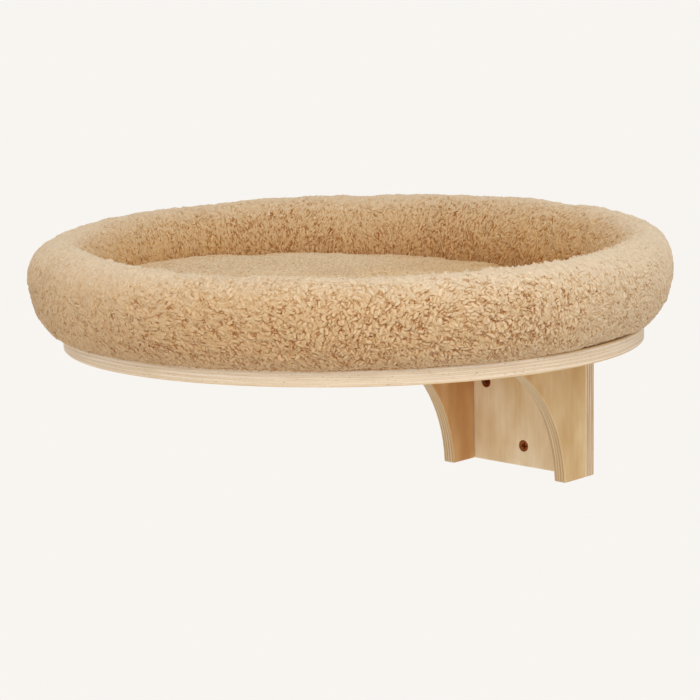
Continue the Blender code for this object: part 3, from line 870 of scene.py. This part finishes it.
def floor_tones(x, y, radius):
    """Painted shade: the pile is darker and warmer towards one side, and more so near the ring."""
    # Painted shade towards one side.
    aside = (x * PAINTED_SHADE_SIDE[0] + y * PAINTED_SHADE_SIDE[1]) / 1000
    pale = np.interp(aside, [-0.1, 0.0, 0.13], [0.95, 0.98, 0.68])
    warmth = np.interp(aside, [0.0, 0.13], [1.02, 1.14])
    # Painted shade near the ring.
    rim = np.interp(radius, [0.15, 0.185], [0, 1])
    return pale - 0.15 * rim, warmth + 0.05 * rim


# %% Making the floor cushion
FLOOR_PILE_SINK = 0.0009
FLOOR_FADE = 30
FLOOR_LUMP, FLOOR_LUMP_SIZE, FLOOR_MIDDLE = 0.0006, 50, 120
CALM_RADIUS = 0.03


def make_floor():
    """The section carried round, moved out by pile, lumps and swells. All fade out at the foot, and the last
    two in the middle."""
    angle = (np.arange(FLOOR_ROWS) * math.tau / FLOOR_ROWS)[:, None]
    travel = even_travel(floor_section, 0, 1.99, FLOOR_COLUMNS)
    radius, height = floor_section(angle, travel[None, :])
    ground = round_the_bed(angle, radius, height)
    out = directions(ground, closed=False)[2]
    out = -out if out[0, -NARROW_COLUMNS, 2] < 0 else out
    x, y = ((ground[..., i] - (BED_X, BED_Y)[i]) * 1000 for i in (0, 1))
    pile = floor_tufts(x, y)
    fade = np.clip(np.arange(FLOOR_COLUMNS) / FLOOR_FADE, 0, 1)[None, :]
    pitch = math.tau * FLOOR_MIDDLE / FLOOR_ROWS
    lumps = FLOOR_LUMP * wander(*ground.shape[:2], pitch, 1.0, FLOOR_LUMP_SIZE, 35)
    lumps = lumps + floor_swells(ground)
    calm = np.clip(radius / CALM_RADIUS, 0, 1)
    rise = (tuft_height(pile, FLOOR_TUFTS) / 1000 - FLOOR_PILE_SINK) * fade + lumps * fade * calm
    ground += rise[..., None] * out
    ends = (ground[:, 0].mean(0), ground[:, -1].mean(0))
    cushion = round_piece("floor_cushion", ground, ends=ends, material=SHORT_PLUSH)
    store_tufts(cushion, ground.shape[:2], pile, 0.8, *floor_tones(x, y, radius), 37)
    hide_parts("floor_cover", "floor_foam")
    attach(cushion, "bed")


make_floor()

# %% [markdown]
# The bed is closed underneath by a woven polyester cloth, cut as a disc and sewn in round its rim. It lies on
# the board and steps up under the floor cushion. It is seen only when the bed is lifted off. Between the
# stitches the sewn rim puckers a little. A simulation would add nothing to a cloth that is held flat all
# round, so a formula gives its shape, with the puckers as a small wave that dies out inwards.

# %% The base cloth's finish
# The real threads are about 0.4 mm apart. They are drawn at 1.2 mm, so that they show. In mm.
WEAVE_PITCH = 1.2
MOTTLE_SIZE = 11.11


def woven(name, colour, thread):
    """Plain weave: two sets of threads cross over and under, sin(x) sin(y), with a little mottle."""
    material, tree, shader = new_material(name, {"Roughness": 0.9, "Sheen Weight": 0.2})
    at = add(tree, "TexCoord").outputs["Object"]
    split = add(tree, "SeparateXYZ", [at]).outputs
    size = 1000 * math.tau / WEAVE_PITCH
    turned = [add(tree, "Math", [split[axis], size], operation="MULTIPLY") for axis in ("X", "Y")]
    waves = [add(tree, "Math", [turn], operation="SINE") for turn in turned]
    crossed = add(tree, "Math", waves, operation="MULTIPLY")
    mottle = add(tree, "TexNoise", {"Vector": at, "Scale": 1000 / MOTTLE_SIZE, "Detail": 3.0})
    # Painted light and shade: the raised crossings take the lighter thread colour and the low ones the darker;
    # the mottle is the cloth's own.
    level = add(tree, "Math", [crossed, mottle], operation="ADD")
    share = add(tree, "MapRange", {"Value": level, "From Min": -0.6, "From Max": 1.6})
    tint = painted(tree, linear(colour), [(share, thread)])
    bump = add(tree, "Bump", {"Height": crossed, "Strength": 0.6, "Distance": 0.0003})
    fill(shader, {"Base Color": tint, "Normal": bump})
    return material


# Woven polyester: darker than the plush and matt, with a grid of threads whose raised crossings are painted
# lighter: painted light.
BASE_CLOTH = woven("base cloth, plain woven polyester", "#8A7355", "#B09673")

# %% Making the base cloth
CLOTH_RADIUS = 0.220
CLOTH_THICKNESS = 0.001
CLOTH_RIM_BOTTOM = 0.0006
CLOTH_INNER_BOTTOM = 0.0029
CLOTH_LIFT = 0.0003
CLOTH_STEP = (0.158, 0.176)
CLOTH_ROWS = 480
# Puckers: how many there are, their height, the radius where they are highest, and how far they reach.
PUCKERS, PUCKER_HEIGHT, PUCKER_RADIUS, PUCKER_REACH = 120, 0.00025, 0.214, 0.004


def make_base_cloth():
    """Height of its lower side: the rim's height, the inner height, and a smooth step between two radii, plus
    the puckers, height * sin(count * angle) * exp(-(distance / reach)^2), and a soft unevenness."""
    angle = (np.arange(CLOTH_ROWS) * math.tau / CLOTH_ROWS)[:, None]
    inward = np.concatenate([np.linspace(0.001, 0.218, 60), [0.2194, CLOTH_RADIUS]])[None, :]
    step = np.clip((CLOTH_STEP[1] - inward) / (CLOTH_STEP[1] - CLOTH_STEP[0]), 0, 1)
    bottom = CLOTH_RIM_BOTTOM + (CLOTH_INNER_BOTTOM - CLOTH_RIM_BOTTOM) * step * step * (3 - 2 * step)
    near = np.exp(-((inward - PUCKER_RADIUS) ** 2) / PUCKER_REACH**2)
    pucker = PUCKER_HEIGHT * np.sin(PUCKERS * angle) * near
    soft = 0.0001 * wander(CLOTH_ROWS, inward.size, 1.5, 2.7, 25, 41) * np.clip(inward / 0.04, 0, 1)
    low = bottom + CLOTH_LIFT + pucker + soft * (inward < 0.2)
    edge = np.where(inward > 0.219, CLOTH_THICKNESS * 0.3, 0)
    radius = np.concatenate([inward, inward[:, ::-1]], 1) * np.ones_like(angle)
    height = np.concatenate([low + edge, (low + CLOTH_THICKNESS - edge)[:, ::-1]], 1)
    points = round_the_bed(angle, radius, height)
    ends = (points[:, 0].mean(0), points[:, -1].mean(0))
    cloth = round_piece("base_fabric", points[::-1], ends=ends, material=BASE_CLOTH)
    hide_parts("base_cloth")
    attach(cloth, "bed")


make_base_cloth()

# %% [markdown]
# All four wooden pieces are cut from one 12 mm sheet of birch plywood: nine thin plies, glued with their
# grain crossing. One solid pattern serves them all. It knows which ply a point lies in, so the faces show long
# grain and every cut edge shows the stack. A ply cut across its fibres is darker than one cut along them, and
# so on the round board the bands come and go on the way round, as they do on real plywood. A flat pattern
# wrapped round the edge would not do that.


# %% Noise with its sizes in millimetres
def uneven(tree, at, axes, sizes, detail=3.0, shift=0.0):
    """Noise between 0 and 1, with its own size in mm along each of three axes. shift, added on the third,
    picks another part of the noise."""
    scaled = [
        add(tree, "Math", [at[axis], 1000 / size, more], operation="MULTIPLY_ADD")
        for axis, size, more in zip(axes, sizes, (0.0, 0.0, shift))
    ]
    return add(tree, "TexNoise", {"Vector": add(tree, "CombineXYZ", scaled), "Scale": 1.0, "Detail": detail})


# %% The stack of plies
PLY_COUNT = 9
SHEET = 0.012
PLY_WAVER = 1.6
PLY_WAVER_SIZES = (5, 90, 90)
print(f"plies: {PLY_COUNT} of {1000 * SHEET / PLY_COUNT:.2f} mm")


def ply_stack(tree, at, axes, middle):
    """The height in the stack, counted in plies, and the number of the ply. The glue lines waver, because no
    ply is quite even in thickness."""
    start = (SHEET / 2 - middle) * PLY_COUNT / SHEET - PLY_WAVER / 2
    level = add(tree, "Math", [at[axes[0]], PLY_COUNT / SHEET, start], operation="MULTIPLY_ADD")
    waver = uneven(tree, at, axes, PLY_WAVER_SIZES, 1.0)
    level = add(tree, "Math", [waver, PLY_WAVER, level], operation="MULTIPLY_ADD")
    whole = add(tree, "Math", [level], operation="FLOOR")
    return level, add(tree, "Clamp", {"Value": whole, "Min": 0.0, "Max": PLY_COUNT - 1.0})


# %% Noise along the grain of each ply
# Sizes in mm across and along the grain: the fine streaks, and the broad figure.
STREAKS = (2.4, 60.0)
FIGURE = (20.0, 90.0)
PLY_SHIFT = 7.3


def grain_noise(tree, at, axes, ply, crossed, size):
    """Noise drawn out along a ply's own grain: one lookup for plies along the face grain, one for the crossed
    plies, and each ply at another place in it."""
    normal, grain, across = axes
    wide, long = size
    shift = add(tree, "Math", [ply, PLY_SHIFT], operation="MULTIPLY")
    straight, turned = (
        uneven(tree, at, (over, along, normal), (wide, long, wide), 4.0, shift)
        for along, over in ((grain, across), (across, grain))
    )
    return add(tree, "Mix", {"Factor": crossed, "A": straight, "B": turned})


# %% Marks on faces and cut edges
# Sizes in mm through the sheet, along its grain and across it, the noise's detail, the noise from which a
# mark shows and at which it is full, and its share then. Flecks are the short dark lines of birch on a face.
# On a cut edge there are bands that come and go, fine lines and dark pores, and the glue shows in places.
MARKS = {
    "flecks": ((100, 14, 0.9), 2.0, 0.55, 0.75, 0.14),
    "bands": ((1.6, 70, 70), 3.0, 0.45, 0.7, 0.55),
    "lines": ((0.7, 30, 30), 3.0, 0.5, 0.75, 0.3),
    "pores": ((0.9, 2.2, 2.2), 0.0, 0.75, 0.8, 0.45),
    "glue": ((2.5, 50, 50), 3.0, 0.35, 0.65, 0.5),
}
BROAD_FIGURE = (200, 45, 22)
print("marks in the wood:", ", ".join(MARKS))


def wood_marks(tree, at, axes):
    """The share of each kind of mark, from its own noise."""
    shares = {}
    for mark, (sizes, detail, low, high, full) in MARKS.items():
        limits = {"From Min": low, "From Max": high, "To Max": full}
        shares[mark] = add(tree, "MapRange", {"Value": uneven(tree, at, axes, sizes, detail)} | limits)
    return shares


# %% The plywood finish
def plywood(name, axes, middle, face, edge=("#F5E6D2", "#E8D2B3")):
    """axes names the axes through the sheet, along its face grain and across it. middle is the sheet's middle
    plane. face and edge are pairs of colours: the pale and the dark figure, and a ply cut along and across
    its fibres. A cut edge is where the surface's normal turns away from the sheet's."""
    material, tree, shader = new_material(name, {"Roughness": 0.62, "Specular IOR Level": 0.35})
    coordinates = add(tree, "TexCoord").outputs
    at, facing = (add(tree, "SeparateXYZ", [coordinates[kind]]).outputs for kind in ("Object", "Normal"))
    level, ply = ply_stack(tree, at, axes, middle)
    crossed = add(tree, "Math", [ply, 2.0], operation="MODULO")
    streak, figure = (grain_noise(tree, at, axes, ply, crossed, size) for size in (STREAKS, FIGURE))
    share = wood_marks(tree, at, axes)

    # The face: pale and dark figure, with flecks.
    broad = uneven(tree, at, axes, BROAD_FIGURE, 2.0)
    figure = add(tree, "Mix", {"Factor": 0.5, "A": figure, "B": broad})
    spread = add(tree, "MapRange", {"Value": figure, "From Min": 0.36, "From Max": 0.62})
    wood = painted(tree, linear(face[0]), [(spread, face[1]), (share["flecks"], "#B98C58")])

    # The cut edge: a ply is darker the more its end grain faces out, the square of that share of the normal.
    end = add(tree, "Mix", {"Factor": crossed, "A": facing[axes[1]], "B": facing[axes[2]]})
    end_grain = add(tree, "Math", [end, end], operation="MULTIPLY")
    layers = [(end_grain, edge[1]), (share["bands"], edge[1]), (share["lines"], "#A98763")]
    cut = painted(tree, linear(edge[0]), [*layers, (share["pores"], "#94683C")])
    flat = add(tree, "Math", [facing[axes[0]]], operation="ABSOLUTE")
    limits = {"From Min": 0.35, "From Max": 0.75, "To Min": 1.0, "To Max": 0.0}
    cut_edge = add(tree, "MapRange", {"Value": flat} | limits)
    colour = add(tree, "Mix", {"Factor": cut_edge, 6: wood, 7: cut}, data_type="RGBA")

    # Streaks darken both, and the glue lines lie a little below the plies.
    dark = add(tree, "MapRange", {"Value": streak, "From Min": 0.4, "From Max": 0.75, "To Max": 0.1})
    streaked = {"Factor": dark, 6: colour, 7: linear("#B98F60")}
    colour = add(tree, "Mix", streaked, data_type="RGBA", blend_type="MULTIPLY")
    fraction = add(tree, "Math", [level], operation="FRACT")
    from_middle = add(tree, "Math", [fraction, 0.5], operation="SUBTRACT")
    from_middle = add(tree, "Math", [from_middle], operation="ABSOLUTE")
    glue = add(tree, "MapRange", {"Value": from_middle, "From Min": 0.36, "From Max": 0.5})
    sunk = add(tree, "Math", [glue, cut_edge], operation="MULTIPLY")
    seen = add(tree, "Math", [sunk, share["glue"]], operation="MULTIPLY")
    raised = add(tree, "Math", [streak, 0.4], operation="MULTIPLY")
    height = add(tree, "Math", [raised, sunk], operation="SUBTRACT")
    bump = add(tree, "Bump", {"Height": height, "Strength": 0.4, "Distance": 0.00012})
    fill(shader, {"Base Color": painted(tree, colour, [(seen, "#A0734A")]), "Normal": bump})
    return material


# %% Plywood on the four wooden pieces
# Sanded birch, not varnished: pale and nearly matt, so that figure and plies show and nothing mirrors.
BOARD_FACE = ("#EBD2A6", "#DFBA88")
PLATE_FACE = ("#F4E4C6", "#DEC192")
PLATE_EDGE = ("#F0E0C6", "#C7A276")
CORBEL_EDGE = ("#E2CFAE", "#BF9F74")
# The left corbel's colours are darker and more orange than the right one's: painted shade, because its inner
# face lies in shade under the board.
CORBELS = (("left", -0.0615, ("#DEB480", "#C58F57")), ("right", 0.0615, ("#E4C899", "#CEA46E")))


def finish(node, material):
    """Puts a material in a CAD node's slot and leaves its mesh alone."""
    bpy.data.objects[node].material_slots[0].material = material


finish("shelf_board", plywood("birch plywood, board", "ZXY", BOARD_TOP - SHEET / 2, BOARD_FACE))
finish("wall_plate", plywood("birch plywood, plate", "YZX", -SHEET / 2, PLATE_FACE, PLATE_EDGE))
for side, middle, face in CORBELS:
    finish(f"corbel_{side}", plywood(f"birch plywood, {side} corbel", "XZY", middle, face, CORBEL_EDGE))

# %% [markdown]
# The wall screws are steel with a dark bronze coating, which shows copper where light meets the rim of the
# head. The screws that hold the wood together are plain zinc plated ones. Each is a profile turned about its
# axis. The thread could be cut with a modifier. Here it is a wave along the shank that runs on with the
# angle, so that it winds round like a real one and the mesh stays closed. The cross is a smooth hollow.

# %% The screws' finishes
# The clouds in a plated surface are too fine to show, and are drawn at 2 mm.
CLOUD_SIZE = 2.0


def screw_metal(name, dark, bright, roughness):
    """A plated metal, cloudy in colour, with its roughness a little uneven."""
    material, tree, shader = new_material(name, {"Metallic": 1.0})
    at = add(tree, "TexCoord").outputs["Object"]
    cloud = add(tree, "TexNoise", {"Vector": at, "Scale": 1000 / CLOUD_SIZE, "Detail": 3.0})
    tint = painted(tree, linear(dark), [(cloud, bright)])
    rough = add(tree, "MapRange", {"Value": cloud, "To Min": roughness - 0.1, "To Max": roughness + 0.1})
    fill(shader, {"Base Color": tint, "Roughness": rough})
    return material


# Bronze coating: a dark brown head with copper lights. Zinc plating: pale grey, and a little more polished.
BRONZE = screw_metal("screws, bronze coated steel", "#5E2C12", "#A8602F", 0.42)
ZINC = screw_metal("screws, zinc plated steel", "#A8A69E", "#D8D5CB", 0.35)


# %% The cross in a screw's head
# Shares of the head's radius: an arm's length and half width, the slope at its sides, and its depth.
ARM, ARM_WIDTH, ARM_SLOPE, CROSS_DEPTH = 0.58, 0.13, 0.08, 0.45


def cross_hollow(x, y, head):
    """Depth of the recess: two crossed arms, whose sides and ends follow the smooth step 3 t^2 - 2 t^3."""
    arm, half_width, side = ARM * head, ARM_WIDTH * head, ARM_SLOPE * head
    across = [np.clip((half_width + side - np.abs(v)) / (2 * side), 0, 1) for v in (x, y)]
    ends = [np.clip((arm + side - np.abs(v)) / (4 * side), 0, 1) for v in (x, y)]
    share = np.maximum(across[0] * ends[1], across[1] * ends[0])
    return CROSS_DEPTH * head * share * share * (3 - 2 * share)


# %% Making the screws
SCREW_ROWS = 48
FACE_STEPS = 12
THREAD_STEPS = 7
THREAD_DEPTH = 0.28
# In metres: the head's rim, the tapered tip, and what is left of the shank past the last step.
HEAD_RIM, SCREW_TIP, SCREW_END = 0.0004, 0.005, 0.0002
# Head radius, shank radius, thread pitch, material and a slot name.
WALL_SCREW = (0.0049, 0.0025, 0.0022, BRONZE, "bronze_screw")
WOOD_SCREW = (0.0038, 0.0019, 0.0017, ZINC, "zinc_screw")
OUTWARD = {"wall": (0, -1, 0), "corbel": (0, 1, 0), "board": (0, 0, 1)}


def make_screw(node, outward, head, shank, pitch, metal, slot):
    """Radius along the shank: shank (1 - thread depth * wave), a sharp ridge, with wave = |2 fraction - 1|
    and fraction that of height / pitch + angle / 360 degrees."""
    low, high = (np.array(corner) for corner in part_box(node))
    axis = np.array(outward, float)
    length = np.abs(axis) @ (high - low)
    seat = (low + high) / 2 + axis * length / 2
    side = np.cross(axis, (1.0, 0.0, 0.0))
    other = np.cross(axis, side)
    neck = HEAD_RIM + head - shank
    threaded = np.arange(neck + pitch, length - SCREW_END, pitch / THREAD_STEPS)
    depth = np.concatenate([np.zeros(FACE_STEPS), [HEAD_RIM * 0.3, HEAD_RIM, neck], threaded])
    face = head * (np.arange(FACE_STEPS) + 0.6) / FACE_STEPS
    shaft = shank * np.minimum(1, (length - threaded) / SCREW_TIP)
    radius = np.concatenate([face, [head, head, shank], shaft])
    turned = (np.arange(SCREW_ROWS) * math.tau / SCREW_ROWS)[:, None]
    wave = np.abs(2 * ((depth[None, :] / pitch + turned / math.tau) % 1) - 1)
    step = np.arange(depth.size)
    radius = radius * np.where(step >= depth.size - threaded.size, 1 - THREAD_DEPTH * wave, 1)
    x, y = radius * np.cos(turned), radius * np.sin(turned)
    hollow = np.where(step < FACE_STEPS, cross_hollow(x, y, head), 0)
    points = seat + x[..., None] * side + y[..., None] * other - (depth + hollow)[..., None] * axis
    middle = seat - cross_hollow(0.0, 0.0, head) * axis
    screw = round_piece(node + "_threaded", points[::-1], ends=(middle, seat - length * axis), material=metal)
    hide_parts(node)
    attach(screw, "bracket")


for node in sorted(NODES):
    if "screw" in node:
        sizes = WALL_SCREW if node.startswith("wall") else WOOD_SCREW
        make_screw(node, OUTWARD[node.split("_")[0]], *sizes)

# %% [markdown]
# Four pads of touch fastener keep the bed in place. The hooked half is stuck to the board and the looped half
# is sewn under the bed. Hooks stand in rows about 1.5 mm apart, and loops are a matted felt. Both are too
# small to be worth their own shapes, so the pads keep their CAD meshes and get a finish with a fine relief.

# %% The touch fastener's finishes
# Sizes in mm. Real loops are about 0.4 mm across and the fuzz is finer still. Both are drawn coarse enough to
# show.
HOOK_PITCH = 1.515
LOOP_PITCH = 2.381
FUZZ_SIZE = 0.7143


def tape(name, dark, light, pitch, depth):
    """Cells about a pitch apart, raised in their middles, with fuzz over them."""
    material, tree, shader = new_material(name, {"Roughness": 0.85, "Sheen Weight": 0.3})
    at = add(tree, "TexCoord").outputs["Object"]
    cells = add(tree, "TexVoronoi", {"Vector": at, "Scale": 1000 / pitch, "Randomness": 0.4})
    fuzz = add(tree, "TexNoise", {"Vector": at, "Scale": 1000 / FUZZ_SIZE, "Detail": 3.0})
    # Painted light and shade: paler on the raised middles of the cells, darker between them; the fuzz is the
    # tape's own unevenness.
    level = add(tree, "Math", [cells, fuzz], operation="ADD")
    share = add(tree, "MapRange", {"Value": level, "From Min": 0.5, "From Max": 1.3})
    tint = painted(tree, linear(light), [(share, dark)])
    bump = add(tree, "Bump", {"Height": level, "Strength": 0.7, "Distance": depth}, invert=True)
    fill(shader, {"Base Color": tint, "Normal": bump})
    return material


# Moulded nylon hooks: rows of pale dots. Brushed nylon loops: a dull felt. On both, painted light and shade
# make the raised parts paler and the low parts darker.
HOOKS = tape("hook tape, moulded nylon", "#B49C7C", "#EADDC4", HOOK_PITCH, 0.0006)
LOOPS = tape("loop tape, brushed nylon", "#A8967A", "#E4D8C0", LOOP_PITCH, 0.0005)
for node in NODES:
    if "_pad_" in node:
        finish(node, HOOKS if node.startswith("hook") else LOOPS)

# %% [markdown]
# The picture is a plain studio one. A pale floor well below the shelf takes its soft shadow and sends light
# back up under the board. A large lamp near the camera and a weaker one on its left give the pile some form.
# Seen by the camera or in a reflection, the floor fades into the colour of the backdrop.

# %% The world round the bed
BACKDROP = "#F8F5F1"


def seen_directly(tree):
    """1 for what the camera, a mirror or a glass shows, 0 for light that falls on things."""
    path = add(tree, "LightPath").outputs
    seen = path["Is Camera Ray"]
    for other in ("Is Glossy Ray", "Is Transmission Ray"):
        seen = add(tree, "Math", [seen, path[other]], operation="MAXIMUM")
    return seen


def make_world():
    """Even, slightly warm light from all round, in front of which the backdrop's colour is seen."""
    world = bpy.data.worlds.new("studio")
    bpy.context.scene.world = world
    world.use_nodes = True
    tree = world.node_tree
    tree.nodes.clear()
    light = add(tree, "Background", {"Color": linear("#FFFBF5"), "Strength": 0.67})
    backdrop = add(tree, "Background", {"Color": linear(BACKDROP), "Strength": 1.0})
    mix = add(tree, "MixShader", [seen_directly(tree), light, backdrop])
    add(tree, "OutputWorld", {"Surface": mix})


make_world()

# %% The studio floor
FLOOR_LEVEL = -1.1
PAPER = 0.01
SHADOW_REACH = (0.5, 1.2)


def studio_paper():
    """Matt paper: it takes a soft shadow and mirrors nothing. Its share of backdrop colour rises from 0 under
    the object to 1 further out."""
    constants = {"Base Color": linear("#F4F1EC"), "Roughness": 0.9}
    material, tree, shader = new_material("studio floor, pale paper", constants)
    far = add(tree, "VectorMath", [add(tree, "TexCoord").outputs["Object"]], operation="LENGTH")
    limits = {"Value": far, "From Min": SHADOW_REACH[0], "From Max": SHADOW_REACH[1]}
    share = add(tree, "MapRange", limits, interpolation_type="SMOOTHSTEP")
    share = add(tree, "Math", [share, seen_directly(tree)], operation="MULTIPLY")
    mix = add(tree, "MixShader", [share, shader, add(tree, "Emission", {"Color": linear(BACKDROP)})])
    output = next(node for node in tree.nodes if node.type == "OUTPUT_MATERIAL")
    fill(output, {"Surface": mix})
    return material


def make_studio_floor():
    """A thin disc below everything."""
    angle = (np.arange(64) * math.tau / 64)[:, None]
    radius = np.linspace(0.2, 6.0, 30)[None, :]
    top = np.stack(np.broadcast_arrays(radius * np.cos(angle), radius * np.sin(angle), FLOOR_LEVEL), -1)
    points = np.concatenate([top, top[:, ::-1] - (0, 0, PAPER)], 1)
    ends = np.array([(0.0, 0.0, FLOOR_LEVEL), (0.0, 0.0, FLOOR_LEVEL - PAPER)])
    round_piece("studio_floor", points, ends=ends, material=studio_paper())


make_studio_floor()

# %% The lamps
# Place in metres, size across in metres, and power in watts.
LAMPS = {
    "key light": ((1.5, -1.35, 1.45), 1.6, 25.0),
    "low front light": ((0.9, -2.2, -0.1), 1.4, 6.0),
}
LAMP_TARGET = (0.0, -0.22, 0.05)

for name, (place, size, power) in LAMPS.items():
    lamp = bpy.data.lights.new(name, "AREA")
    lamp.size = size
    lamp.energy = power
    holder = bpy.data.objects.new(name, lamp)
    holder.location = place
    toward = Vector(LAMP_TARGET) - Vector(place)
    holder.rotation_euler = toward.to_track_quat("-Z", "Y").to_euler()
    bpy.context.scene.collection.objects.link(holder)
    print(f"{name}: {power:.0f} W")
bpy.context.scene.view_settings.view_transform = "Standard"
